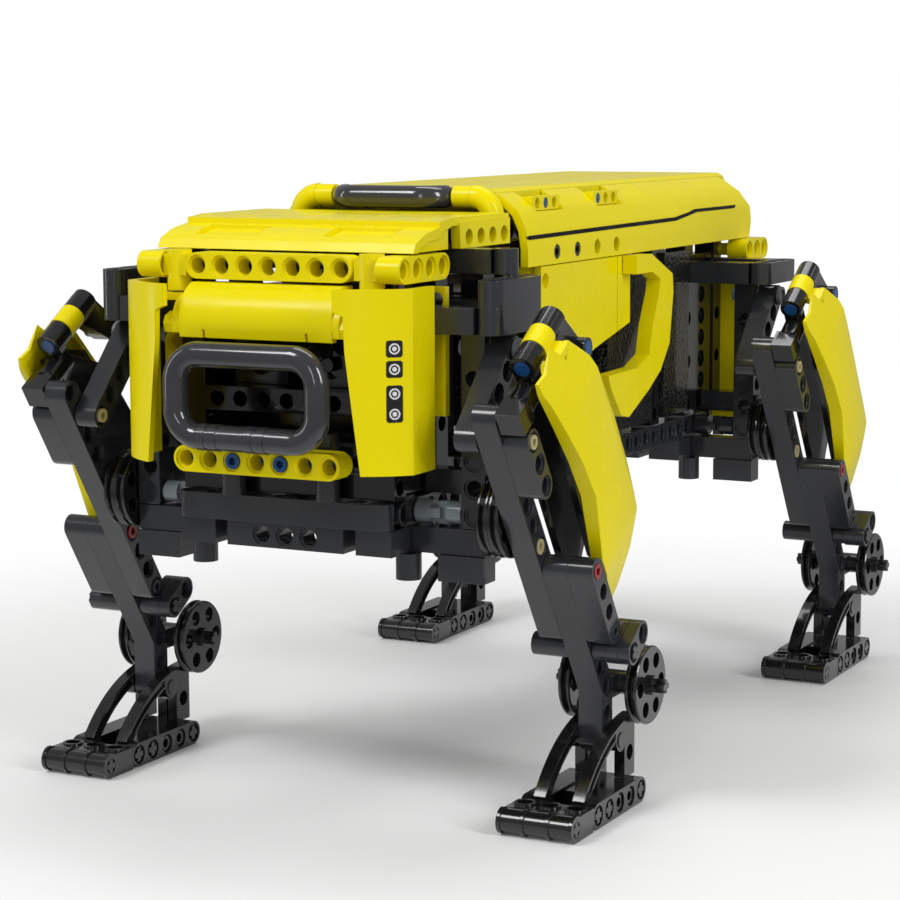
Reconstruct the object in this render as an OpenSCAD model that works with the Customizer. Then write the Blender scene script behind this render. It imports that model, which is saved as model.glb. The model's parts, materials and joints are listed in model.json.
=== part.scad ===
// Walking robot dog built from pinned beams on a regular hole grid.
// All lengths inside the modules are in grid steps; place() turns them into mm.
// Origin: on the floor, middle of the body. Face looks toward -Y, +X is its left side.

/* [Grid] */
// hole-to-hole step of the beams, mm
pitch = 8; // [8:0.01:8]
// bore for a pin, mm across
bore_d = 4.8; // [4.6:0.1:5]
// counterbore at each face of a bore, mm across
cbore_d = 6.2; // [5.8:0.1:6.4]
// width of a beam, mm
beam_w = 7.8; // [7.4:0.1:7.9]

/* [Leg] */
// crank throw, steps
crank_r = 1; // [0.6:0.1:1.2]
// rocker length between its pivots, steps
rocker_l = 4; // [3:1:5]
// thigh length from crank pin to rocker pivot, steps
thigh_l = 5; // [4:1:6]
// distance between front and rear legs, steps
wheelbase = 28; // [24:1:32]
// sideways position of a foot centre, steps
track = 10; // [9:0.5:11]

/* [Hidden] */
$fn = 48;
br = bore_d / 2 / pitch;
cr = cbore_d / 2 / pitch;
cd = 0.1;
shaft_gap = 0.005;
bw = beam_w / pitch;
hipY = 4.1;
hipZ = 11.4;
rockZ = 17.5;
// crank pin straight below the crank axle; thigh direction from the closed triangle
pinY = hipY;
pinZ = hipZ - crank_r;
dq = rockZ - pinZ;
aa = (thigh_l * thigh_l - rocker_l * rocker_l + dq * dq) / (2 * dq);
hh = sqrt(thigh_l * thigh_l - aa * aa);
phi = atan2(hh, aa);
p1Y = pinY - hh;
p1Z = pinZ + aa;
rho = atan2(rockZ - p1Z, hipY - p1Y);
bendY = pinY + 7 * sin(phi);
bendZ = pinZ - 7 * cos(phi);
ankY = bendY;
ankZ = bendZ - 2;
whY = bendY + 1.5;
whZ = bendZ - 0.14;
foot_z = bw / 2;
front_y = -1.12;
yc = (front_y + whY + wheelbase + 1.5) / 2;
worm_z = hipZ + 1.64;
rear_y = 34.24;
// height of the holes in the roof windows
window_z = 22.32;
// half the straight part of the handle, radius of its elbows
handle_x = 1.3;
elbow_r = 0.46;
// wall of the shield and its two radii of curvature
shield_t = 0.2;
shield_r1 = 21.2;
shield_r2 = 5.45;
// arch of the foot: radii of its outer and inner edge, height of its centre
arch_r = 6.3;
arch_in = 5.86;
arch_z = -2.95;
toe_y = -5.15;
// height of the knee axle along the thigh
knee = -5;

dark = [0.2, 0.21, 0.22];
black = [0.08, 0.08, 0.09];
yellow = [0.9, 0.82, 0.02];
grey = [0.5, 0.54, 0.56];
blue = [0.06, 0.27, 0.6];
tan_c = [0.75, 0.7, 0.5];

module place() scale(pitch) translate([0, -yc, 0]) children();
module both() { children(); mirror([1, 0, 0]) children(); }
// cylinder along x, y or z starting at the given point
module cx(p, r, l) translate(p) rotate([0, 90, 0]) cylinder(r = r, h = l);
module cy(p, r, l) translate(p) rotate([-90, 0, 0]) cylinder(r = r, h = l);
module cz(p, r, l) translate(p) cylinder(r = r, h = l);
module bx(a, b) translate(a) cube([b[0] - a[0], b[1] - a[1], b[2] - a[2]]);

// beam with holes along local z, first hole at the origin, running along +x
module beam(n, t = bw, cb = true) {
  difference() {
    translate([0, 0, -t / 2]) linear_extrude(t) difference() {
      union() {
        translate([0, -bw / 2]) square([n - 1, bw]);
        circle(d = bw);
        translate([n - 1, 0]) circle(d = bw);
      }
      for (i = [0:n - 1]) translate([i, 0]) circle(r = br);
    }
    if (cb) for (i = [0:n - 1]) for (s = [-1, 1])
      translate([i, 0, s * (t / 2)]) cylinder(r = cr, h = 2 * cd, center = true);
  }
}
// the same beam: holes along X and running along +Y
module beam_xy(n, t = bw, cb = true) rotate([0, 0, 90]) rotate([90, 0, 0]) beam(n, t, cb);
// holes along X, running along +Z
module beam_xz(n, t = bw, cb = true) rotate([0, -90, 0]) beam(n, t, cb);
// holes along Y, running along +X
module beam_yx(n, t = bw, cb = true) rotate([90, 0, 0]) beam(n, t, cb);
// holes along Y, running along +Z
module beam_yz(n, t = bw, cb = true) rotate([90, 0, 0]) rotate([0, 0, 90]) beam(n, t, cb);
// holes along Z, running along +X or +Y
module beam_zx(n, t = bw, cb = true) beam(n, t, cb);
module beam_zy(n, t = bw, cb = true) rotate([0, 0, 90]) beam(n, t, cb);
// pin with a flanged end, along local z
module pin(l, r = br) {
  difference() {
    cylinder(r = r, h = l);
    translate([0, 0, -0.01]) cylinder(r = r * 0.5, h = 0.3);
    translate([0, 0, l - 0.3]) cylinder(r = r * 0.5, h = 0.31);
  }
}
// cross-section bar along local z
module cross(l, r = 0.29) {
  intersection() {
    cylinder(r = r, h = l);
    union() {
      translate([-r, -0.11, 0]) cube([2 * r, 0.22, l]);
      translate([-0.11, -r, 0]) cube([0.22, 2 * r, l]);
    }
  }
}
// belt wheel, axis along X, starting at x=0, with six holes
module wheel(t, hole = br, a0 = 30) {
  rotate([0, 90, 0]) difference() {
    rotate_extrude() polygon([[hole, 0], [1.46, 0], [1.5, t * 0.1], [1.5, t * 0.25],
      [1.32, t * 0.5], [1.5, t * 0.75], [1.5, t * 0.9], [1.46, t], [hole, t]]);
    for (i = [0:5]) rotate([0, 0, 60 * i + a0]) translate([1, 0, -0.1])
      cylinder(r = br, h = t + 0.2);
  }
}

// ---------- leg parts; built for the +X side, front leg ----------
module leg_at(i) translate([0, i > 1 ? wheelbase : 0, 0]) mirror([i % 2, 0, 0]) children();
// frame of the thigh: origin at the crank pin, +Z up the thigh, +Y to its rear
module thigh_frame() translate([0, pinY, pinZ]) rotate([phi, 0, 0]) children();

module l_rocker() color(dark) translate([8.02, p1Y, p1Z]) rotate([rho - 90, 0, 0]) difference() {
  beam_xz(rocker_l + 1, 0.9);
  cx([-1, 0, 0], br + 0.035, 2);
}
module l_thigh() color(dark) thigh_frame() {
  translate([9.01, 0, -4]) beam_xz(11, 0.94);
  // short side link beside the upper part of the thigh
  translate([9.97, 0, 3]) beam_xz(3, 0.96);
}
module l_shank() color(dark) {
  thigh_frame() difference() {
    translate([9.49, 0, -7]) rotate([0, 90, 0]) linear_extrude(0.96) difference() {
      union() {
        translate([-6, -bw / 2]) square([6, bw]);
        translate([-6, 0]) circle(d = bw);
        circle(d = bw);
        rotate(-phi) {
          translate([0, -bw / 2]) square([2, bw]);
          translate([2, 0]) circle(d = bw);
        }
      }
      for (i = [0:6]) translate([-i, 0]) circle(r = br);
      for (i = [1, 2]) rotate(-phi) translate([i, 0]) circle(r = br);
    }
    for (i = [0:6]) cx([10.35, 0, -7 + i], cr, 0.2);
  }
  // two thin beams outside it
  thigh_frame() for (k = [0, 1]) translate([10.46 + 0.25 + 0.5 * k, 0, -4]) beam_xz(4, 0.5, false);
}
// pair of two-hole blocks and bushes on the knee axle; the blocks are on the +X side of every leg
module l_toggle(blocks_outside) color(dark) thigh_frame() {
  for (x = blocks_outside ? [11.26, 11.75] : [8.26, 8.75]) translate([x, 0, knee])
    beam_xy(2, 0.47);
  for (x = blocks_outside ? [[8, 9.47], [10.47, 11]] : [[9, 9.47], [10.47, 11.9]]) difference() {
    cx([x[0], 0, knee], 0.44, x[1] - x[0]);
    cx([x[0] - 1, 0, knee], br, 4);
  }
}
module arch_ring(outer, inner, x, l) difference() {
  cx([x, ankY + 1.5, arch_z], outer, l);
  cx([x - 1, ankY + 1.5, arch_z], inner, l + 2);
}
// arch with a sunk web, the column at its rear end and the eye of the ankle; 0.48 wide from x=0
module l_arch() difference() {
  union() {
    intersection() {
      arch_ring(arch_r, arch_in, 0, 0.48);
      bx([0, ankY - 4, 0.99], [0.48, ankY + 1.3, 4]);
    }
    bx([0.06, ankY + 0.35, 0.99], [0.48, ankY + 1.3, 3.1]);
    cx([0, ankY, ankZ], 0.44, 0.48);
  }
  cx([-1, ankY, ankZ], br, 3);
  cx([-1, ankY + 0.85, 1.9], br, 3);
  for (x = [-0.1, 0.4]) intersection() {
    arch_ring(arch_r - 0.1, arch_in + 0.1, x, 0.18);
    bx([-1, ankY - 4, 1.1], [1, ankY - 0.5, 4]);
  }
}
module l_foot() color(black) {
  // toe block: barrels across with raised rings, upright bores with rims behind them
  difference() {
    union() {
      cx([track - 1.5, ankY + toe_y, foot_z], 0.43, 3);
      for (x = [-1.5, -0.57, 0.43, 1.36]) cx([track + x, ankY + toe_y, foot_z], foot_z, 0.14);
      bx([track - 1.5, ankY + toe_y + 0.2, 0], [track + 1.5, ankY - 3.65, 0.9]);
      for (i = [-1:1]) cz([track + i, ankY - 4.15, 0.5], 0.4, 0.47);
    }
    for (i = [-1:1]) cz([track + i, ankY - 4.15, -1], br, 3);
    for (x = [-1.6, 1.3]) cx([track + x, ankY + toe_y, foot_z], br, 0.3);
  }
  translate([track, 0, 0]) both() {
    translate([1, ankY - 3.15, foot_z]) beam_xy(5);
    translate([0.54, 0, 0]) l_arch();
  }
  // floor plate between the side beams, with a short column
  difference() {
    union() {
      bx([track - 0.5, ankY - 1.9, 0], [track + 0.5, ankY + 1.2, 0.9]);
      bx([track - 0.5, ankY + 0.35, 0.5], [track - 0.08, ankY + 1.2, 1.9]);
    }
    cx([track - 1, ankY + 0.78, 1.4], 0.25, 2);
  }
}
// ankle pin, foot side beam pins
module l_foot_pins() color(grey) {
  cx([track - 1.06, ankY, ankZ], br - shaft_gap, 2.12);
  for (s = [-1, 1]) translate([track + s - 0.48, ankY - 3.15, foot_z]) {
    for (i = [0, 1, 4]) translate([0, i, 0]) rotate([0, 90, 0]) cross(0.96, 0.28);
    for (i = [2, 3]) difference() {
      cx([0.06, i, 0], br - shaft_gap, 0.84);
      cx([0, i, 0], 0.18, 1);
    }
  }
  for (x = [-1.5, 1.31]) translate([track + x, ankY + toe_y, foot_z]) rotate([0, 90, 0])
    cross(0.19, 0.28);
}
module l_wheels() color(black) {
  for (x = [track - 1.6, track + 1.12]) translate([x, whY, whZ]) wheel(0.48, 0.225);
  cx([track - 1.8, whY, whZ], 0.22, 3.6);
  translate([track, whY, whZ]) both() {
    cx([1.61, 0, 0], 0.38, 0.16);
    translate([1.7, 0, 0]) rotate([0, 90, 0]) cross(0.52, 0.27);
  }
}
module l_carrier() color(black) difference() {
  union() {
    cx([track - 0.95, whY, whZ], 0.46, 1.9);
    bx([track - 0.45, bendY + bw / 2, whZ - 0.4], [track + 0.45, whY, whZ + 0.4]);
  }
  cx([track - 2, whY, whZ], 0.23, 4);
}
// cylinders that hold the shield, square to the thigh, and the dark plate behind it
module l_mount() color(black) thigh_frame() {
  difference() {
    union() {
      cy([10, 0.5, 6.1], 0.48, 1.4);
      bx([9.49, -0.4, 5.6], [10.44, 0.6, 6.5]);
      cy([10, 1.4, 7.1], 0.48, 1);
      cy([10, 3.4, 7.1], 0.48, 1);
      bx([9.6, 1.5, 6.1], [10.4, 1.9, 7.1]);
      ext_x(9.6, 10.4) polygon([[3.45, 7.4], [4.3, 7.4], [5.2, 5.4], [4.9, 4.95], [4.4, 5.1],
        [3.45, 6.7]]);
      cx([9.6, 4.85, 5.35], 0.4, 1.2);
      ext_x(9.6, 9.9) polygon([[0.55, 5.2], [0.55, -0.9], [1.3, -2.4], [3.4, -1.2], [3.9, 1.7],
        [3.5, 4.6], [1.85, 6.4], [1.55, 6.4]]);
    }
    cy([10, 0, 6.1], br, 1.6);
    cy([10, 1, 7.1], br, 4);
    cx([10.1, 4.85, 5.35], br, 1);
  }
  ext_x(10.5, 10.78) polygon([[1.5, 6.3], [1.2, -1.4], [2.2, -3.2], [4.3, -1.5], [4.5, 1.7],
    [3.8, 5.0], [2.6, 6.0]]);
}
// outer shield: bulged shell with turned-in rim, outline in the plane of the thigh's side
module shield_outline(d) polygon([[0.55 + d, 6.6], [0.95 + d, 4.8], [1.3 + d, 3], [1.45 + d, 1.3],
  [1.1 + d, -0.4], [0.9 + d, -1.3], [0.95 + d, -3 + d], [1.5, -3.75 + 2 * d], [2.2, -3.6 + d],
  [3.4 - d, -3.0 + d], [4.3 - d, -1.8], [4.9 - d, -0.2], [4.95 - d, 1.7], [4.45 - d, 3.9],
  [4.05 - d, 5.7 - d], [3.35 - d, 6.9 - 2 * d], [2.7, 6.5 - d], [2.2 - d / 2, 7.5 - d],
  [1.3 + d, 7 - d], [0.6 + d, 7.1 - d]]);
// bulged solid under the outer face of the shield, d inside it
module shield_bulge(d) intersection() {
  cy([11.6 - shield_r1, -3, 1.8], shield_r1 - d, 10);
  cz([11.55 - shield_r2, 2.7, -8], shield_r2 - d, 20);
}
module l_shield() color(yellow) thigh_frame() {
  difference() {
    intersection() {
      ext_x(10.8, 13) shield_outline(0);
      shield_bulge(0);
    }
    intersection() {
      ext_x(10, 13) shield_outline(shield_t);
      shield_bulge(shield_t);
    }
  }
  // ring round the mount and the strap to the shell
  difference() {
    union() {
      cy([10, 2.42, 7.1], 0.5, 0.96);
      bx([10, 2.5, 6.62], [11, 3.3, 6.9]);
    }
    cy([10, 2, 7.1], br, 2);
  }
}
module l_pins() color(tan_c) thigh_frame() {
  translate([7.5, 0, 5]) rotate([0, 90, 0]) pin(2.99, br - 0.035);
  translate([10, 0, 0]) cy([0, 1.36, 7.1], br - 0.01, 1.0);
  translate([10, 0, 0]) cy([0, 2.4, 7.1], br - 0.01, 2.0);
  cx([10.2, 4.85, 5.35], br - 0.01, 0.62);
  for (z = [-1, -4]) translate([8.5, 0, z]) rotate([0, 90, 0]) pin(2.99, br - 0.01);
  translate([7.95, 0, knee]) rotate([0, 90, 0]) cross(4.1, 0.28);
}

// ---------- drive ----------
module drive_axle(y) translate([0, y, 0]) {
  color(grey) {
    cx([-4.55, 0, hipZ], br - 0.01, 9.1);
    both() {
      cx([4.55, 0, hipZ], 0.45, 0.65);
      bx([5.1, -0.42, hipZ - 0.18], [5.6, 0.42, hipZ + 0.18]);
      bx([5.4, -0.18, hipZ - 0.42], [5.9, 0.18, hipZ + 0.42]);
      cx([5.8, 0, hipZ], 0.42, 0.62);
      cx([6.4, 0, hipZ], br - 0.01, 1.12);
    }
  }
}
module crank_discs(y) color(black) translate([0, y, 0]) both() {
  for (x = [7.54, 8.0]) translate([x, 0, hipZ]) wheel(0.46, 0, 0);
  difference() {
    cx([7.6, 0, hipZ - crank_r], br - shaft_gap, 1.88);
    cx([9.3, 0, hipZ - crank_r], 0.15, 0.3);
  }
}
module gear(n, r, t) difference() {
  union() {
    cylinder(r = r - 0.12, h = t, center = true);
    for (i = [0:n - 1]) rotate([0, 0, i * 360 / n]) translate([r - 0.16, -0.07, -t / 2])
      cube([0.2, 0.14, t]);
  }
  cylinder(r = br, h = t + 1, center = true);
  for (i = [0:3]) rotate([0, 0, 90 * i + 45]) translate([0.58, 0, 0])
    cylinder(r = 0.17, h = t + 1, center = true);
}
module axle_gear(y) color(grey) translate([0, y, hipZ]) rotate([0, 90, 0]) gear(16, 1, 0.8);

// worm shaft along the body, a worm over each axle, turning both axles
module worm_shaft() place() color(grey) difference() {
  union() {
    cy([0, hipY - 0.9, worm_z], br - 0.01, wheelbase + 1.8);
    for (y = [hipY, hipY + wheelbase]) for (i = [-2:2])
      cy([0, y + 0.34 * i - 0.09, worm_z], 0.56, 0.18);
    for (y = [hipY, hipY + wheelbase]) cy([0, y - 0.9, worm_z], 0.38, 1.8);
  }
  cy([0, 0, worm_z], 0.1, 60);
}

// ---------- body ----------
module ext_y(y0, y1) translate([0, y1, 0]) rotate([90, 0, 0]) linear_extrude(y1 - y0) children();
module ext_x(x0, x1) translate([x0, 0, 0]) rotate([90, 0, 90]) linear_extrude(x1 - x0) children();
module ends() for (s = [0, 1]) translate([0, s * wheelbase, 0]) children();

module lower_frame() place() color(dark) {
  ends() translate([0, hipY, 0]) {
    difference() {
      bx([-2.48, -2.1, 9.92], [2.48, 4.9, 10.88]);
      bx([-1.5, -1.1, 9], [1.5, 3.9, 12]);
      for (x = [-1:1]) {
        cy([x, -3, 10.4], br, 9);
        for (y = [-2.1, 4.9]) cy([x, y - cd, 10.4], cr, 2 * cd);
      }
      for (x = [-2, 2]) for (y = [0.4:3.4]) cz([x, y, 9], br, 3);
    }
    both() difference() {
      bx([3.0, -2.1, 9.92], [4.48, -0.55, 10.88]);
      cz([3.98, -1.6, 9], br, 3);
    }
    both() difference() {
      cz([4.4, -0.6, 8.92], 0.48, 0.98);
      cz([4.4, -0.6, 8], br, 3);
    }
  }
  // wide cross beams, holes upright, at both ends of the rails
  for (y = [hipY - 2, hipY + wheelbase + 2]) translate([-4, y, 11.4]) beam_zx(9);
  both() cz([2, hipY - 2.35, 11.9], 0.45, 2.5);
}
module side_rails() place() color(dark) both() translate([4, hipY - 1, hipZ]) beam_xy(wheelbase + 3);
module hip_columns() place() color(dark) ends() both() difference() {
  bx([6.52, hipY - 0.49, 10.92], [7.48, hipY + 0.49, 18.06]);
  for (z = [12.4, 14.4, 16.4]) cy([7, hipY - 1, z], br, 2);
  for (z = [hipZ, 13.4, 15.4]) cy([7, hipY - 0.6, z], br, 0.26);
  for (z = [hipZ:16.4]) cy([7, hipY - 0.6, z], cr, 0.2);
  for (z = [hipZ, 13.4, 15.4, rockZ]) cx([6, hipY, z], br, 2);
}
module hip_bars() place() color(dark) ends() both() {
  bx([3.0, hipY - 0.49, 9.92], [7.48, hipY + 0.49, 10.88]);
  difference() {
    bx([5.6, hipY - 0.6, 8.92], [7.46, hipY + 0.38, 9.9]);
    cz([6, hipY - 0.1, 8], br, 3);
  }
  // rear stay of each column
  difference() {
    bx([6.52, hipY + 0.52, 10.92], [7.46, hipY + 1.46, 18.06]);
    for (z = [11.4:1:17.4]) cx([6, hipY + 1, z], br, 2);
  }
  bx([4.52, hipY + 0.55, 12.0], [6.5, hipY + 1.4, 12.9]);
}
module rocker_axles() place() color(grey) ends() both() {
  cx([6.3, hipY, rockZ], br - shaft_gap, 2.3);
  difference() {
    cx([8.5, hipY, rockZ], 0.42, 0.16);
    cx([8.4, hipY, rockZ], br - shaft_gap, 0.4);
  }
}
module shoulder_beams() place() color(dark) both() {
  ends() {
    translate([8, hipY - 1, 18.56]) beam_zy(4);
    for (y = [-1.48, 1.5]) difference() {
      bx([4.52, hipY + y, 18.08], [7.5, hipY + y + 0.96, 19.04]);
      cx([4, hipY + y + 0.48, 18.56], br, 1.2);
    }
  }
  translate([8, hipY - 1, 19.54]) beam_zy(4);
  bx([4.52, hipY + 1.7, 20.03], [6.64, hipY + 2.5, 20.95]);
  difference() {
    cz([7.1, hipY + 2.1, 20.03], 0.45, 0.95);
    cz([7.1, hipY + 2.1, 20.5], 0.25, 1.0);
  }
}
module inner_frame() place() color(black) {
  both() {
    for (y = [5.6, 9.6, 26.6, 30.6, rear_y]) difference() {
      bx([3.52, y, 11.92], [4.48, y + 0.96, 19.88]);
      for (z = [12.4:2:19]) cx([3, y + 0.48, z], br, 2);
      for (z = [13.4:2:19]) cy([4, y - 1, z], br, 3);
    }
    translate([4, 2.76, 20.4]) beam_xy(33);
    difference() {
      bx([3.52, 2.27, 11.92], [4.48, 3.15, 19.88]);
      for (z = [12.4:1:19.4]) cx([3, 2.71, z], br, 2);
    }
  }
  for (z = [13.4, 18.4]) bx([-3.5, rear_y, z - 0.45], [3.5, rear_y + 0.9, z + 0.45]);
  // cross ties; the lower ones carry the worm shaft
  for (y = [9.6, 26.6]) for (z = [worm_z, 18.4]) difference() {
    bx([-3.5, y, z - 0.45], [3.5, y + 0.9, z + 0.45]);
    cy([0, y - 1, worm_z], br, 3);
  }
  // closing walls between the end columns, with blind sockets
  both() for (span = [[3.1, 5.65], [31.5, 34.3]]) difference() {
    bx([3.6, span[0], 12.1], [4.4, span[1], 19.3]);
    for (z = [13.4:18.4]) cx([4.2, (span[0] + span[1]) / 2, z], cr, 0.3);
  }
  // sill under the mouth
  bx([-3.6, 2.27, 11.95], [3.6, 2.9, 12.85]);
  both() bx([0.9, 2.27, 17.0], [1.5, 3.15, 18.5]);
  for (z = [13.4, 15.4, 18.9]) difference() {
    bx([-3.5, 2.27, z - 0.45], [3.5, 3.15, z + 0.45]);
    for (x = [-3:3]) cy([x, 1, z], br, 3);
  }
}
module motor() place() color(black) {
  // motor can behind the mouth, with its face flange and terminals
  difference() {
    union() {
      cy([1.2, 3.4, 16.7], 1.1, 6);
      bx([-3.3, 5.0, 13.6], [3.3, 9.4, 19.4]);
    }
    cy([1.2, 3.0, 16.7], 0.55, 0.8);
  }
  cy([1.2, 3.2, 16.7], 0.26, 1.1);
  difference() {
    bx([-2.9, 3.4, 15.7], [-0.6, 4.9, 17.8]);
    cy([-1.75, 3.0, 16.8], 0.6, 1);
  }
}
module battery_box() place() color(black) {
  bx([-3.45, 27.6, 13.6], [3.45, 33.8, 19.4]);
  bx([-3.3, 11.2, 13.6], [3.3, 25.4, 18.9]);
  both() {
    for (y = [14:1.5:20]) bx([3.29, y, 14], [3.42, y + 0.9, 18.5]);
    bx([3.46, 11.4, 12.9], [4.46, 12.8, 19.8]);
    // gear housings at the rear half
    bx([3.5, 21.2, 12.2], [4.7, 26.2, 19.6]);
    bx([3.5, 27.6, 12.2], [4.7, 30.55, 19.6]);
  }
}
module front_beam() place() color(yellow) {
  translate([-3, 1.5, 20.4]) beam_yx(7);
  both() {
    // upright connector and short beam beside the row
    difference() {
      union() {
        cz([4.05, 1.5, 19.45], 0.46, 1.5);
        bx([3.52, 1.1, 20.0], [4.5, 1.9, 20.8]);
      }
      cz([4.05, 1.5, 19], br, 3);
    }
    translate([5, 1.3, 20.4]) beam_xy(4);
  }
}
module bumper() place() color(yellow) translate([-3, 0.49, 13.4]) beam_yx(7);
module mouth_ring() place() color([0.3, 0.31, 0.34]) translate([0, -0.62, 15.82]) difference() {
  union() {
    for (x = [-1.95, 1.95]) for (z = [-0.5, 0.5]) intersection() {
      translate([x, 0, z]) rotate([90, 0, 0]) rotate_extrude() translate([1.0, 0]) circle(r = 0.47);
      bx([x > 0 ? x : x - 2, -1, z > 0 ? z : z - 2], [x > 0 ? x + 2 : x, 1, z > 0 ? z + 2 : z]);
    }
    for (z = [-1.5, 1.5]) cx([-1.95, 0, z], 0.47, 3.9);
    for (x = [-2.95, 2.95]) cz([x, 0, -0.5], 0.47, 1);
    for (x = [-1.9, -1.4, 0.1, 0.6]) cx([x, 0, -1.5], 0.5, 0.35);
    // stubs to the frame
    for (x = [-1.2, 1.2]) cy([x, 0, 1.5], 0.3, 2.8);
  }
}
module visor() place() color(yellow) {
  difference() {
    ext_x(-3.2, 3.2) polygon([[1.6, 19.8], [0.9, 19.8], [0.45, 19.5], [0.12, 19], [0, 18.4],
      [0.1, 17.85], [0.4, 17.85], [0.3, 18.4], [0.4, 18.9], [0.7, 19.3], [1.1, 19.5], [1.6, 19.5]]);
    both() bx([2.1, -1, 17], [2.2, 0.3, 18.15]);
  }
  both() {
    ext_x(3.2, 3.5) polygon([[1.6, 19.4], [0.75, 19.4], [0.3, 19.1], [0.08, 18.7], [0, 18.4],
      [0.1, 18.0], [1.0, 18.0], [1.6, 18.6]]);
    ext_x(3.45, 3.86) polygon([[0.5, 18.75], [0.15, 18.6], [0.02, 18.35], [0.12, 18.0],
      [0.5, 17.95]]);
  }
}
// cheek: upright curved panel, outline seen from above, tapered inner edge
module cheeks() place() color(yellow) both() {
  difference() {
    union() {
      intersection() {
        bx([3.52, -0.6, 13.2], [5.98, 2.6, 19.8]);
        difference() {
          cz([2.9, 3.4, 13], 3.95, 7);
          cz([2.9, 3.4, 12], 3.65, 9);
        }
        ext_y(-1, 4) polygon([[3.52, 19.8], [5.98, 19.8], [5.98, 13.2], [4.45, 13.2], [3.95, 17.6],
          [3.9, 18.85], [3.52, 19.0]]);
      }
      bx([5.7, 1.2, 13.2], [5.98, 2.6, 19.8]);
      bx([3.6, 1.0, 19.1], [5.9, 2.1, 19.38]);
    }
    cz([4.05, 1.5, 18], br, 3);
  }
  // beam and plate behind each cheek
  translate([4.99, 3.08, 15.4]) beam_yz(3);
  difference() {
    bx([5.1, 3.6, 15], [5.9, 3.9, 19.7]);
    cy([5.5, 3, 19.2], br, 3);
  }
}
module hood() place() color(yellow) {
  difference() {
    union() {
      ext_x(-5.4, 5.4) polygon([[2.1, 20.95], [2.3, 21.3], [3.1, 21.62], [4.2, 21.8], [4.2, 22.0],
        [5.2, 22.1], [9.95, 22.1], [9.95, 21.8], [5.2, 21.8], [4.45, 21.6], [4.3, 21.4], [3.3, 21.3],
        [2.6, 21.05], [2.5, 20.95]]);
      both() {
        ext_x(5.1, 5.48) polygon([[5.6, 21.9], [5.7, 20.95], [9.9, 20.95], [9.9, 21.95]]);
        ext_x(5.1, 5.36) polygon([[2.35, 20.97], [4.9, 20.97], [4.9, 21.9], [4.3, 21.7], [3.1, 21.5],
          [2.35, 21.2]]);
      }
    }
    both() {
      for (i = [0:3]) cx([5, 6.4 + i, 21.35], br, 1);
      ext_x(1.4, 4.1) polygon([[2.6, 21.8], [2.75, 21.35], [3.9, 21.62], [3.9, 22]]);
    }
  }
}
module handle() place() color([0.25, 0.25, 0.2]) {
  intersection() {
    union() for (x = [-handle_x, handle_x]) translate([x, 10.9, 22.65])
      rotate_extrude() translate([0.9, 0]) circle(r = 0.44);
    both() bx([handle_x, 9, 21], [handle_x + 2, 10.9, 24]);
  }
  cx([-handle_x, 10, 22.65], 0.44, 2 * handle_x);
}
module handle_elbows() place() color(yellow) both() translate([handle_x, 10.9, 0]) {
  cx([1.36, 0, 22.65], elbow_r - 0.03, 0.9);
  translate([2.16, 0, 21.85]) rotate([90, 0, 0]) intersection() {
    rotate_extrude() translate([0.8, 0]) circle(r = elbow_r);
    translate([0, 0, -1]) cube([2, 2, 2]);
  }
  bx([0.48, 0.02, 22.3], [1.34, 0.4, 22.98]);
  cz([2.96, 0, 20.92], elbow_r - 0.03, 1.03);
}
// roof cover: flat top with sloping shoulders
module roof_top() place() color(yellow) difference() {
  ext_y(11.4, 36.6) polygon([[-3.9, 22.95], [3.9, 22.95], [4.1, 22.8], [4.1, 22.55], [-4.1, 22.55],
    [-4.1, 22.8]]);
  for (y = [17.4, 23.4, 29.4]) bx([-5, y, 22.9], [5, y + 0.06, 23.2]);
  bx([-0.03, 11, 22.9], [0.03, 37, 23.2]);
  ext_x(-6, 6) polygon([[35.9, 23.2], [36.7, 22.4], [37.5, 23.2]]);
}
module roof_sides() place() color(yellow) both() {
  difference() {
    ext_y(11.4, 36.4) polygon([[4.14, 22.78], [4.5, 22.6], [5.1, 22.1], [5.45, 21.4], [5.54, 20.6],
      [5.54, 19.92], [5.22, 19.92], [5.22, 20.6], [5.12, 21.3], [4.85, 21.9], [4.4, 22.3],
      [4.14, 22.45]]);
    for (y = [13.0, 19.0]) bx([4.14, y, 22.02], [6, y + 2.6, 23]);
    for (i = [0:3]) cx([5, 14.14 + 2 * i, 20.4], br, 1);
    ext_x(3, 7) polygon([[35.2, 23], [36.5, 21.2], [36.0, 19.5], [38, 19.5], [38, 23]]);
    // groove for the dark stripe
    ext_x(5.4, 6) polygon([[11, 21.0], [27, 21.1], [29.6, 21.38], [34.6, 21.38], [34.6, 21.5],
      [29.5, 21.5], [26.9, 21.22], [11, 21.12]]);
  }
  // three-hole beams showing in the two windows
  for (y = [13.0, 19.0]) difference() {
    bx([4.5, y + 0.02, 22.04], [4.96, y + 2.58, 22.6]);
    for (i = [0:2]) cx([4, y + 0.5 + 0.8 * i, window_z], 0.22, 2);
  }
}
module side_panels() place() color(yellow) both() {
  difference() {
    ext_x(5.2, 5.5) polygon([[12.7, 19.88], [21.7, 19.88], [21.7, 17.0], [18, 16.2], [13.9, 14.9],
      [12.7, 14.9]]);
    cx([5, 13.1, 19.3], br, 1);
    bx([5.42, 20.3, 16], [6, 20.36, 20]);
  }
  bx([4.5, 12.75, 17.6], [5.18, 13.6, 19.85]);
}
module fairings() place() color(yellow) both() {
  ext_x(5.54, 6.2) polygon([[20.8, 19.88], [22.4, 19.88], [24.8, 18.9], [24.9, 18.1], [24.5, 15.9],
    [23.5, 14.8], [22.2, 14.1], [20.0, 13.15], [19.2, 13.3], [18.1, 14.5], [17.8, 15.1],
    [20.9, 15.15], [22.2, 15.6], [22.6, 16.9], [23.3, 18.2], [23.4, 18.75], [22.5, 19.1],
    [20.8, 19.1]]);
  bx([4.72, 21.75, 19.1], [5.54, 22.5, 19.8]);
}
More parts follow.
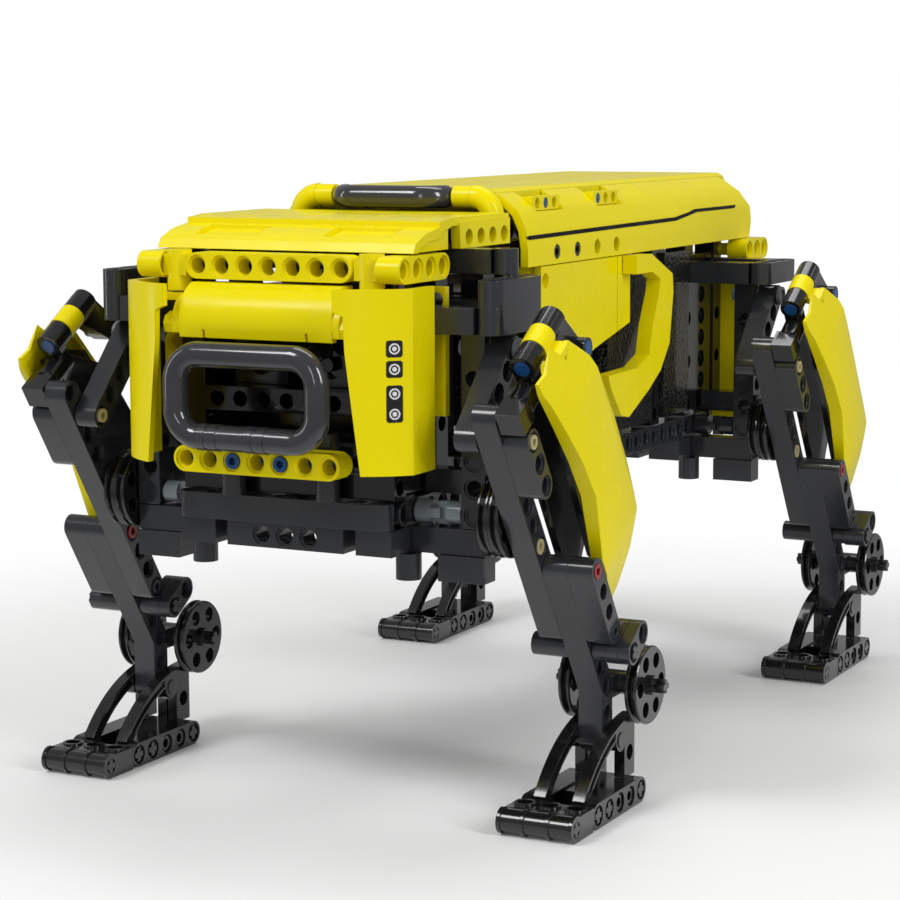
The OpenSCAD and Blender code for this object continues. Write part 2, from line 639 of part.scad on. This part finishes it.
module rear_beams() place() color(yellow) {
  both() {
    translate([5.5, 35, 19.4]) beam_xy(3);
    cx([4.49, 35, 19.4], br - 0.01, 0.9);
    bx([3.55, 35.22, 10.95], [5.5, 35.5, 18.85]);
  }
  for (z = [20.4, 13.4]) translate([-3, rear_y + 1.45, z]) beam_yx(7);
  ext_x(-3.5, 3.5) polygon([[36.1, 22.5], [36.75, 21.9], [36.75, 20.92], [35.3, 20.92],
    [35.3, 21.2], [36.45, 21.2], [36.45, 21.8], [36.0, 22.2]]);
}
module body_pins() place() color(blue) {
  for (x = [-1, 1]) translate([x, 0.02, 13.4]) rotate([-90, 0, 0]) pin(3.1, br - 0.01);
  both() {
    for (i = [0, 1]) translate([4.5, 14.14 + 2 * i, 20.4]) rotate([0, 90, 0]) pin(1.02, br - 0.01);
    for (y = [14.3, 19.5]) cx([4.52, y, window_z], 0.21, 0.42);
  }
}

// ---------- one module per sub-part of each end and each leg ----------
module drive_axle_front() place() { drive_axle(hipY); axle_gear(hipY); }
module cranks_front() place() crank_discs(hipY);
module drive_axle_rear() place() { drive_axle(hipY + wheelbase); axle_gear(hipY + wheelbase); }
module cranks_rear() place() crank_discs(hipY + wheelbase);
module rocker_front_left() place() leg_at(0) l_rocker();
module thigh_front_left() place() leg_at(0) l_thigh();
module shank_front_left() place() leg_at(0) { l_shank(); l_toggle(true); l_carrier(); }
module foot_front_left() place() leg_at(0) { l_foot(); l_foot_pins(); }
module ankle_wheels_front_left() place() leg_at(0) l_wheels();
module shield_mount_front_left() place() leg_at(0) l_mount();
module shield_front_left() place() leg_at(0) l_shield();
module leg_pins_front_left() place() leg_at(0) l_pins();
module rocker_front_right() place() leg_at(1) l_rocker();
module thigh_front_right() place() leg_at(1) l_thigh();
module shank_front_right() place() leg_at(1) { l_shank(); l_toggle(false); l_carrier(); }
module foot_front_right() place() leg_at(1) { l_foot(); l_foot_pins(); }
module ankle_wheels_front_right() place() leg_at(1) l_wheels();
module shield_mount_front_right() place() leg_at(1) l_mount();
module shield_front_right() place() leg_at(1) l_shield();
module leg_pins_front_right() place() leg_at(1) l_pins();
module rocker_rear_left() place() leg_at(2) l_rocker();
module thigh_rear_left() place() leg_at(2) l_thigh();
module shank_rear_left() place() leg_at(2) { l_shank(); l_toggle(true); l_carrier(); }
module foot_rear_left() place() leg_at(2) { l_foot(); l_foot_pins(); }
module ankle_wheels_rear_left() place() leg_at(2) l_wheels();
module shield_mount_rear_left() place() leg_at(2) l_mount();
module shield_rear_left() place() leg_at(2) l_shield();
module leg_pins_rear_left() place() leg_at(2) l_pins();
module rocker_rear_right() place() leg_at(3) l_rocker();
module thigh_rear_right() place() leg_at(3) l_thigh();
module shank_rear_right() place() leg_at(3) { l_shank(); l_toggle(false); l_carrier(); }
module foot_rear_right() place() leg_at(3) { l_foot(); l_foot_pins(); }
module ankle_wheels_rear_right() place() leg_at(3) l_wheels();
module shield_mount_rear_right() place() leg_at(3) l_mount();
module shield_rear_right() place() leg_at(3) l_shield();
module leg_pins_rear_right() place() leg_at(3) l_pins();

lower_frame();
side_rails();
hip_columns();
hip_bars();
rocker_axles();
shoulder_beams();
inner_frame();
motor();
battery_box();
front_beam();
bumper();
mouth_ring();
visor();
cheeks();
hood();
handle();
handle_elbows();
roof_top();
roof_sides();
side_panels();
fairings();
rear_beams();
body_pins();
worm_shaft();
drive_axle_front();
cranks_front();
drive_axle_rear();
cranks_rear();
rocker_front_left();
thigh_front_left();
shank_front_left();
foot_front_left();
ankle_wheels_front_left();
shield_mount_front_left();
shield_front_left();
leg_pins_front_left();
rocker_front_right();
thigh_front_right();
shank_front_right();
foot_front_right();
ankle_wheels_front_right();
shield_mount_front_right();
shield_front_right();
leg_pins_front_right();
rocker_rear_left();
thigh_rear_left();
shank_rear_left();
foot_rear_left();
ankle_wheels_rear_left();
shield_mount_rear_left();
shield_rear_left();
leg_pins_rear_left();
rocker_rear_right();
thigh_rear_right();
shank_rear_right();
foot_rear_right();
ankle_wheels_rear_right();
shield_mount_rear_right();
shield_rear_right();
leg_pins_rear_right();
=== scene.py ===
"""Looks of the robot dog: materials, small trim pieces, camera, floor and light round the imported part."""
import json
import math

import bpy
from mathutils import Euler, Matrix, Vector


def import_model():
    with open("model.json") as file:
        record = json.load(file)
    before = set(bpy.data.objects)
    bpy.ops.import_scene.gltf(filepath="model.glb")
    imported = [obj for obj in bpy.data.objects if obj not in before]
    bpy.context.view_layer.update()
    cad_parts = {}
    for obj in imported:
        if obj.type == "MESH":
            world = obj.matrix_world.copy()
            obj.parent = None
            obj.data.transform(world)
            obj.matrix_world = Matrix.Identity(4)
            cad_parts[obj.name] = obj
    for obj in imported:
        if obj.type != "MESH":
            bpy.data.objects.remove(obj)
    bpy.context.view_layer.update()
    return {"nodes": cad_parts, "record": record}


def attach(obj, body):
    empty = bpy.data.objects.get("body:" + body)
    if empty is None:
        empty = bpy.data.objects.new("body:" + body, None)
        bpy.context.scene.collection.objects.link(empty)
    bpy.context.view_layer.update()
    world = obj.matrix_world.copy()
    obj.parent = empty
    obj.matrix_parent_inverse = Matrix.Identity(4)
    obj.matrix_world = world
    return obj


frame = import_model()

STEP = 0.008            # hole-to-hole step of the beams, metres
Y_MIDDLE = 18.906491    # steps from the face beam's plane to the origin


def at(x, y, z):
    """A point given in beam steps, y counted from the face, as metres in the row's frame."""
    return Vector((x * STEP, (y - Y_MIDDLE) * STEP, z * STEP))


def add_to_scene(name, data):
    """New object for a mesh, camera or light."""
    obj = bpy.data.objects.new(name, data)
    bpy.context.scene.collection.objects.link(obj)
    return obj


# ---------------------------------------------------------------- shader building blocks
RAMP_LOW = 0.35         # noise value at which a slow blend starts
RAMP_HIGH = 0.65        # and where it is complete
BAND_REACH = 0.2        # metres along the banded axis that the colour bands cover
MIX_A, MIX_B, MIX_RESULT = 6, 7, 2      # colour sockets of the Mix node


def link(tree, a, a_out, b, b_in):
    tree.links.new(a.outputs[a_out], b.inputs[b_in])


def noise(tree, coord, scale, detail):
    node = tree.nodes.new("ShaderNodeTexNoise")
    node.inputs["Scale"].default_value = scale
    node.inputs["Detail"].default_value = detail
    link(tree, coord, 0, node, "Vector")
    return node


def bump(tree, height, output, strength, distance, below):
    """Relief on top of another normal."""
    node = tree.nodes.new("ShaderNodeBump")
    node.inputs["Strength"].default_value = strength
    node.inputs["Distance"].default_value = distance
    link(tree, height, output, node, "Height")
    link(tree, below, "Normal", node, "Normal")
    return node


def shade_ramp(tree, source, low, high):
    """Blends slowly between two colours with a noise."""
    ramp = tree.nodes.new("ShaderNodeValToRGB")
    first, last = ramp.color_ramp.elements
    first.position = RAMP_LOW
    first.color = (*low, 1.0)
    last.position = RAMP_HIGH
    last.color = (*high, 1.0)
    link(tree, source, "Fac", ramp, "Fac")
    return ramp


def bands_ramp(tree, coord, axis, bands):
    """Hard colour bands along one axis of the object, given as (start in metres, colour)."""
    split = tree.nodes.new("ShaderNodeSeparateXYZ")
    link(tree, coord, "Object", split, "Vector")
    size = tree.nodes.new("ShaderNodeMath")
    size.operation = "ABSOLUTE"
    link(tree, split, axis, size, 0)
    scaled = tree.nodes.new("ShaderNodeMapRange")
    scaled.inputs["From Max"].default_value = BAND_REACH
    link(tree, size, "Value", scaled, "Value")
    ramp = tree.nodes.new("ShaderNodeValToRGB")
    ramp.color_ramp.interpolation = "CONSTANT"
    elements = ramp.color_ramp.elements
    elements.remove(elements[1])
    elements[0].position = 0.0
    elements[0].color = (*bands[0][1], 1.0)
    for start, colour in bands[1:]:
        elements.new(start / BAND_REACH).color = (*colour, 1.0)
    link(tree, scaled, "Result", ramp, "Fac")
    return ramp


# ---------------------------------------------------------------- moulded plastic
# noise scales are features per metre, detail is the number of finer layers
BLOTCH_SCALE, BLOTCH_DETAIL = 45.0, 3.0         # slow colour variation
SMUDGE_SCALE, SMUDGE_DETAIL = 120.0, 5.0        # duller and glossier spots
SMUDGE_FROM = (0.3, 0.7)                        # noise values that span the gloss range
SMUDGE_ROUGH = (0.75, 1.4)                      # glossiest and dullest spot, times the roughness
GRAIN_SCALE, GRAIN_DETAIL = 900.0, 2.0          # fine unevenness of the moulded skin
GRAIN_DEPTH = 0.0002                            # metres
SCRATCH_STRETCH = (60.0, 900.0, 2200.0)         # noise squeezed into fine lines
SCRATCH_TURN = (0.4, 0.3, 0.7)                  # radians
SCRATCH_SCALE, SCRATCH_DETAIL = 1.0, 2.0
SCRATCH_DEPTH = 0.0001
SCRATCH_SHARE = 0.5                             # strength of the scratches, times the grain's
KNURL_SCALE = 700.0                             # cells per metre
KNURL_DEPTH = 0.0008
EDGE_RADIUS = 0.00035                           # softening of edges, metres
EDGE_RAYS = 4
COAT_ROUGHNESS = 0.06
PLASTIC_IOR = 1.5


def tinted_bands(tree, coord, blotch, mottle, axis, bands):
    """Colour bands darkened slightly by the mottling; returns the output socket."""
    hue = bands_ramp(tree, coord, axis, bands)
    shade = shade_ramp(tree, blotch, (1.0 - mottle,) * 3, (1.0,) * 3)
    tint = tree.nodes.new("ShaderNodeMix")
    tint.data_type = "RGBA"
    tint.blend_type = "MULTIPLY"
    tint.inputs[0].default_value = 1.0
    link(tree, hue, "Color", tint, MIX_A)
    link(tree, shade, "Color", tint, MIX_B)
    return tint.outputs[MIX_RESULT]


def mottled(tree, blotch, mottle, colour):
    """One colour, a little darker and lighter in places; returns the output socket."""
    low = [c * (1.0 - mottle) for c in colour]
    high = [min(1.0, c * (1.0 + mottle)) for c in colour]
    return shade_ramp(tree, blotch, low, high).outputs["Color"]


def smudged_gloss(tree, place, rough):
    gloss = tree.nodes.new("ShaderNodeMapRange")
    gloss.inputs["From Min"].default_value = SMUDGE_FROM[0]
    gloss.inputs["From Max"].default_value = SMUDGE_FROM[1]
    gloss.inputs["To Min"].default_value = rough * SMUDGE_ROUGH[0]
    gloss.inputs["To Max"].default_value = rough * SMUDGE_ROUGH[1]
    link(tree, noise(tree, place, SMUDGE_SCALE, SMUDGE_DETAIL), "Fac", gloss, "Value")
    return gloss


def moulded_relief(tree, coord, place, grain, knurl):
    """Softened edges, then scratches, grain and, where asked for, a knurled pattern."""
    soft_edge = tree.nodes.new("ShaderNodeBevel")
    soft_edge.samples = EDGE_RAYS
    soft_edge.inputs["Radius"].default_value = EDGE_RADIUS
    stretch = tree.nodes.new("ShaderNodeMapping")
    stretch.inputs["Scale"].default_value = SCRATCH_STRETCH
    stretch.inputs["Rotation"].default_value = SCRATCH_TURN
    link(tree, coord, "Object", stretch, "Vector")
    lines = noise(tree, stretch, SCRATCH_SCALE, SCRATCH_DETAIL)
    scratches = bump(tree, lines, "Fac", grain * SCRATCH_SHARE, SCRATCH_DEPTH, soft_edge)
    skin = noise(tree, place, GRAIN_SCALE, GRAIN_DETAIL)
    surface = bump(tree, skin, "Fac", grain, GRAIN_DEPTH, scratches)
    if knurl:
        cells = tree.nodes.new("ShaderNodeTexVoronoi")
        cells.inputs["Scale"].default_value = KNURL_SCALE
        link(tree, place, "Vector", cells, "Vector")
        surface = bump(tree, cells, "Distance", knurl, KNURL_DEPTH, surface)
    return surface


def plastic(name, colour, rough=0.16, mottle=0.06, grain=0.03, coat=0.25, shine=0.5, axis=None, bands=None,
            knurl=0.0):
    """Moulded plastic: faint colour mottling, smudged gloss, fine scratches and softened edges."""
    mat = bpy.data.materials.new(name)
    mat.use_nodes = True
    tree = mat.node_tree
    tree.nodes.clear()
    out = tree.nodes.new("ShaderNodeOutputMaterial")
    bsdf = tree.nodes.new("ShaderNodeBsdfPrincipled")
    link(tree, bsdf, "BSDF", out, "Surface")
    coord = tree.nodes.new("ShaderNodeTexCoord")
    place = tree.nodes.new("ShaderNodeMapping")
    link(tree, coord, "Object", place, "Vector")

    blotch = noise(tree, place, BLOTCH_SCALE, BLOTCH_DETAIL)
    if bands:
        base = tinted_bands(tree, coord, blotch, mottle, axis, bands)
    else:
        base = mottled(tree, blotch, mottle, colour)
    tree.links.new(base, bsdf.inputs["Base Color"])
    link(tree, smudged_gloss(tree, place, rough), "Result", bsdf, "Roughness")
    link(tree, moulded_relief(tree, coord, place, grain, knurl), "Normal", bsdf, "Normal")
    bsdf.inputs["Coat Weight"].default_value = coat
    bsdf.inputs["Coat Roughness"].default_value = COAT_ROUGHNESS
    bsdf.inputs["IOR"].default_value = PLASTIC_IOR
    bsdf.inputs["Specular IOR Level"].default_value = shine
    return mat


# ---------------------------------------------------------------- materials of the CAD nodes
YELLOW = (0.88, 0.75, 0.0)
DARK_GREY = (0.024, 0.026, 0.030)
BLACK = (0.006, 0.006, 0.0065)
LIGHT_GREY = (0.20, 0.23, 0.25)
SLATE = (0.030, 0.031, 0.036)
BLUE = (0.004, 0.07, 0.24)
TAN = (0.50, 0.43, 0.24)
RED = (0.30, 0.012, 0.015)
WHITE = (0.8, 0.8, 0.8)

# upright bands: the pins share a node and change colour with their height
BODY_PIN_BANDS = ((0.0, BLUE), (0.15, BLACK), (0.17, BLUE))
LEG_PIN_BANDS = ((0.0, DARK_GREY), (0.0735, RED), (0.08, DARK_GREY), (0.1, TAN), (0.125, BLUE))
# sideways bands: the outer end of each crank pin is tan
CRANK_BANDS = ((0.0, BLACK), (0.069, TAN))

MATERIALS = {
    "yellow_plastic": plastic("yellow", YELLOW, rough=0.24, mottle=0.01, grain=0.008, coat=0.0, shine=0.2),
    "dark_grey_plastic": plastic("dark grey", DARK_GREY, rough=0.2, mottle=0.12),
    "black_plastic": plastic("black", BLACK, rough=0.14, mottle=0.15, coat=0.4),
    "light_grey_plastic": plastic("light grey", LIGHT_GREY, rough=0.25, mottle=0.06),
    "slate_plastic": plastic("slate", SLATE, rough=0.14, mottle=0.1, coat=0.5),
    "blue_plastic": plastic("blue", BLUE, rough=0.2, mottle=0.1, axis="Z", bands=BODY_PIN_BANDS),
    "tan_plastic": plastic("pins", TAN, rough=0.22, mottle=0.1, axis="Z", bands=LEG_PIN_BANDS),
}
CRANKS = plastic("black with tan pin ends", BLACK, rough=0.14, coat=0.4, axis="X", bands=CRANK_BANDS)
# nodes whose finish differs in places from the plain slot colour
NODE_FINISH = {
    "cranks_front": CRANKS,
    "cranks_rear": CRANKS,
    "battery_box": plastic("knurled black", BLACK, rough=0.12, coat=0.6, knurl=0.7),
}
SMOOTH_ANGLE = math.radians(35.0)
WELD_REACH = 0.000002   # metres


def dress(obj, mat):
    obj.data.materials.clear()
    obj.data.materials.append(mat)


def smooth(obj):
    """Shades by angle, leaving the mesh itself as it is."""
    weld = obj.modifiers.new("weld", "WELD")
    weld.merge_threshold = WELD_REACH
    for poly in obj.data.polygons:
        poly.use_smooth = True
    edges = obj.modifiers.new("edges", "EDGE_SPLIT")
    edges.split_angle = SMOOTH_ANGLE


def dress_cad_nodes():
    slot_of = {entry["node"]: entry["material_slot"] for entry in frame["record"]["subparts"]}
    for name, obj in frame["nodes"].items():
        dress(obj, NODE_FINISH.get(name, MATERIALS[slot_of[name]]))
        smooth(obj)


# ---------------------------------------------------------------- thin printed patches
def mesh_object(name, verts, faces, mat):
    """Flat-shaded piece that rides on the body."""
    mesh = bpy.data.meshes.new(name)
    mesh.from_pydata(verts, [], faces)
    mesh.validate()
    for poly in mesh.polygons:
        poly.use_smooth = False
    obj = add_to_scene(name, mesh)
    mesh.materials.append(mat)
    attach(obj, "chassis")


def prism(name, outer, inner, put, sink, rise, mat):
    """Closed thin patch inside an outer outline, round an optional inner one, laid on by put().

    It reaches from sink steps below the surface that put() follows to rise steps above it.
    """
    count = len(outer)
    rings = [outer, inner] if inner else [outer]
    verts = [put(u, v, level) for level in (-sink, rise) for ring in rings for u, v in ring]
    top = len(rings) * count
    faces = [(i, (i + 1) % count, top + (i + 1) % count, top + i) for i in range(count)]
    if inner:
        for i in range(count):
            j = (i + 1) % count
            faces.append((count + j, count + i, top + count + i, top + count + j))
            faces.append((count + i, count + j, j, i))
            faces.append((top + i, top + j, top + count + j, top + count + i))
    else:
        faces.append(tuple(reversed(range(count))))
        faces.append(tuple(range(top, top + count)))
    mesh_object(name, verts, faces, mat)


def circle_outline(radius, steps=24):
    turns = [2 * math.pi * i / steps for i in range(steps)]
    return [(radius * math.cos(turn), radius * math.sin(turn)) for turn in turns]


def rounded_outline(half_w, half_h, corner, steps=5):
    """Rectangle with rounded corners, each corner drawn in a few steps."""
    points = []
    for index, (sx, sz) in enumerate(((1, 1), (-1, 1), (-1, -1), (1, -1))):
        for i in range(steps + 1):
            turn = math.radians(90.0 * index + 90.0 * i / steps)
            points.append((sx * (half_w - corner) + corner * math.cos(turn),
                           sz * (half_h - corner) + corner * math.sin(turn)))
    return points


# all of these are in beam steps
CHEEK_AXIS = (2.9, 3.4)     # x and y of the upright axis that the cheek curves round
CHEEK_R = 3.95
MARKS_X = 5.5               # where on the cheek the column of marks stands
MARK_SINK = 0.01
PAD_RISE = 0.012
PRINT_RISE = 0.024
PAD_HALF_W = 0.3
PAD_CORNER = 0.1
PADS = ((17.72, 0.3), (17.0, 0.3), (15.77, 0.66))       # height of the middle, half the height
MARKS_Z = (17.72, 17.0, 16.13, 15.41)
RING_OUTER = 0.2
RING_INNER = 0.14
DOT_R = 0.085


def on_cheek(across, z, rise):
    """Point of the left cheek, across steps along the curve from the column of marks."""
    start = math.acos((MARKS_X - CHEEK_AXIS[0]) / CHEEK_R)
    angle = start - across / CHEEK_R
    radius = CHEEK_R + rise
    return at(CHEEK_AXIS[0] + radius * math.cos(angle), CHEEK_AXIS[1] - radius * math.sin(angle), z)


def around(z):
    """Lays an outline on the cheek with its middle at height z."""
    return lambda u, v, level: on_cheek(u, z + v, level)


def cheek_marks():
    """Generic printed sensor marks on the left cheek: dark pads with white rings and dots."""
    white = plastic("white print", WHITE, rough=0.3, mottle=0.03)
    black = MATERIALS["black_plastic"]
    for index, (z, half_h) in enumerate(PADS):
        prism("cheek_patch_%d" % index, rounded_outline(PAD_HALF_W, half_h, PAD_CORNER), None,
              around(z), MARK_SINK, PAD_RISE, black)
    for index, z in enumerate(MARKS_Z):
        prism("cheek_ring_%d" % index, circle_outline(RING_OUTER), circle_outline(RING_INNER),
              around(z), MARK_SINK, PRINT_RISE, white)
        prism("cheek_dot_%d" % index, circle_outline(DOT_R), None,
              around(z), MARK_SINK, PRINT_RISE, white)


STRIPE_LOWER = ((11.55, 20.98), (26.9, 21.08), (29.5, 21.36), (34.3, 21.36))    # y, z in steps
STRIPE_UPPER = ((34.6, 21.5), (29.4, 21.5), (26.9, 21.24), (11.55, 21.14))
STRIPE_SINK = 0.03
STRIPE_RISE = 0.015
ROOF_X = 5.54               # outer face of the roof side at its foot
ROOF_FOOT_Z = 20.6
ROOF_BEND_Z = 21.4          # above this height the side leans in more
ROOF_LEAN = (0.1125, 0.5)   # steps inward for each step up, below and above the bend


def roof_side_x(z):
    """Sideways place of the left roof side's outer face at height z."""
    lean = ROOF_LEAN[0] * (min(z, ROOF_BEND_Z) - ROOF_FOOT_Z) + ROOF_LEAN[1] * max(z - ROOF_BEND_Z, 0.0)
    return ROOF_X - lean


def roof_stripes():
    """Thin black line along each side of the roof, set in its groove."""
    black = plastic("black print", BLACK, rough=0.5, coat=0.0, shine=0.15)
    outline = STRIPE_LOWER + STRIPE_UPPER
    prism("roof_stripe_left", outline, None,
          lambda y, z, level: at(roof_side_x(z) + level, y, z),
          STRIPE_SINK, STRIPE_RISE, black)
    prism("roof_stripe_right", outline[::-1], None,
          lambda y, z, level: at(-roof_side_x(z) - level, y, z),
          STRIPE_SINK, STRIPE_RISE, black)


# ---------------------------------------------------------------- camera, floor, light
CAMERA_AT = at(47.07, -77.33, 26.21)
CAMERA_YAW = math.radians(26.87)
CAMERA_PITCH = math.radians(7.80)
CAMERA_ROLL = math.radians(-0.22)
CAMERA_LENS = 100.93    # mm, for the sensor width below
CAMERA_SENSOR = 36.0
CAMERA_CLIP = (0.01, 20.0)

FLOOR_HALF = 1.2        # metres from the middle to each side
FLOOR_NEAR = 0.12       # metres from the middle where the floor starts to clear away
FLOOR_FAR = 0.42        # and where it is gone
FLOOR_GAP = 0.0002      # metres below the soles
FLOOR_COLOUR = (0.97, 0.97, 0.97, 1.0)
FLOOR_ROUGHNESS = 0.45
FLOOR_SHINE = 0.3

SURROUND = 0.34         # how bright the white room is for light and reflections
LIGHT_TARGET = Vector((0.0, 0.0, 0.09))
# name, place in metres, width and height in metres, watts
LIGHTS = (
    ("key", (-0.7, -1.2, 1.5), (0.6, 0.6), 14.0),
    ("side", (1.6, -0.5, 0.9), (0.35, 1.1), 14.0),
    ("front", (0.4, -1.8, 0.6), (0.25, 0.9), 3.0),
    ("top", (0.0, 0.4, 1.4), (1.0, 0.4), 5.0),
    ("left strip", (-1.5, -0.7, 0.5), (0.15, 1.2), 3.0),
)


def camera():
    data = bpy.data.cameras.new("camera")
    data.lens = CAMERA_LENS
    data.sensor_width = CAMERA_SENSOR
    data.clip_start, data.clip_end = CAMERA_CLIP
    obj = add_to_scene("camera", data)
    obj.location = CAMERA_AT
    turn = Euler((math.radians(90.0) - CAMERA_PITCH, 0.0, CAMERA_YAW), "XYZ").to_matrix()
    roll = Euler((0.0, 0.0, CAMERA_ROLL), "XYZ").to_matrix()
    obj.rotation_euler = (turn @ roll).to_euler("XYZ")
    bpy.context.scene.camera = obj


def floor_material():
    """Pale satin surface that turns clear with the distance from the middle."""
    mat = bpy.data.materials.new("floor")
    mat.use_nodes = True
    tree = mat.node_tree
    bsdf = tree.nodes["Principled BSDF"]
    bsdf.inputs["Base Color"].default_value = FLOOR_COLOUR
    bsdf.inputs["Roughness"].default_value = FLOOR_ROUGHNESS
    bsdf.inputs["Specular IOR Level"].default_value = FLOOR_SHINE
    coord = tree.nodes.new("ShaderNodeTexCoord")
    length = tree.nodes.new("ShaderNodeVectorMath")
    length.operation = "LENGTH"
    fade = tree.nodes.new("ShaderNodeMapRange")
    fade.interpolation_type = "SMOOTHSTEP"
    fade.inputs["From Min"].default_value = FLOOR_NEAR
    fade.inputs["From Max"].default_value = FLOOR_FAR
    clear = tree.nodes.new("ShaderNodeBsdfTransparent")
    mix = tree.nodes.new("ShaderNodeMixShader")
    link(tree, coord, "Object", length, 0)
    link(tree, length, "Value", fade, "Value")
    link(tree, fade, "Result", mix, 0)
    link(tree, bsdf, "BSDF", mix, 1)
    link(tree, clear, "BSDF", mix, 2)
    link(tree, mix, "Shader", tree.nodes["Material Output"], "Surface")
    return mat


def floor():
    """Pale plane that fades out into the white surroundings."""
    mesh = bpy.data.meshes.new("floor")
    corners = [(sx * FLOOR_HALF, sy * FLOOR_HALF, 0) for sx, sy in ((-1, -1), (1, -1), (1, 1), (-1, 1))]
    mesh.from_pydata(corners, [], [(0, 1, 2, 3)])
    obj = add_to_scene("floor", mesh)
    obj.location.z = -FLOOR_GAP
    mesh.materials.append(floor_material())


def world():
    """White to look at, dimmer as a light source so that gloss and shadows keep their contrast."""
    scene_world = bpy.data.worlds.new("world")
    bpy.context.scene.world = scene_world
    scene_world.use_nodes = True
    tree = scene_world.node_tree
    background = tree.nodes["Background"]
    background.inputs["Color"].default_value = (1.0, 1.0, 1.0, 1.0)
    path = tree.nodes.new("ShaderNodeLightPath")
    strength = tree.nodes.new("ShaderNodeMapRange")
    strength.inputs["To Min"].default_value = SURROUND
    strength.inputs["To Max"].default_value = 1.0
    link(tree, path, "Is Camera Ray", strength, "Value")
    link(tree, strength, "Result", background, "Strength")
    bpy.context.scene.view_settings.view_transform = "Standard"


def area_light(name, place, size, watts):
    """Rectangular light aimed at the middle of the object."""
    data = bpy.data.lights.new(name, "AREA")
    data.shape = "RECTANGLE"
    data.size, data.size_y = size
    data.energy = watts
    obj = add_to_scene(name, data)
    obj.location = place
    aim = LIGHT_TARGET - Vector(place)
    obj.rotation_euler = aim.to_track_quat("-Z", "Y").to_euler()


dress_cad_nodes()
cheek_marks()
roof_stripes()
camera()
floor()
world()
for light in LIGHTS:
    area_light(*light)
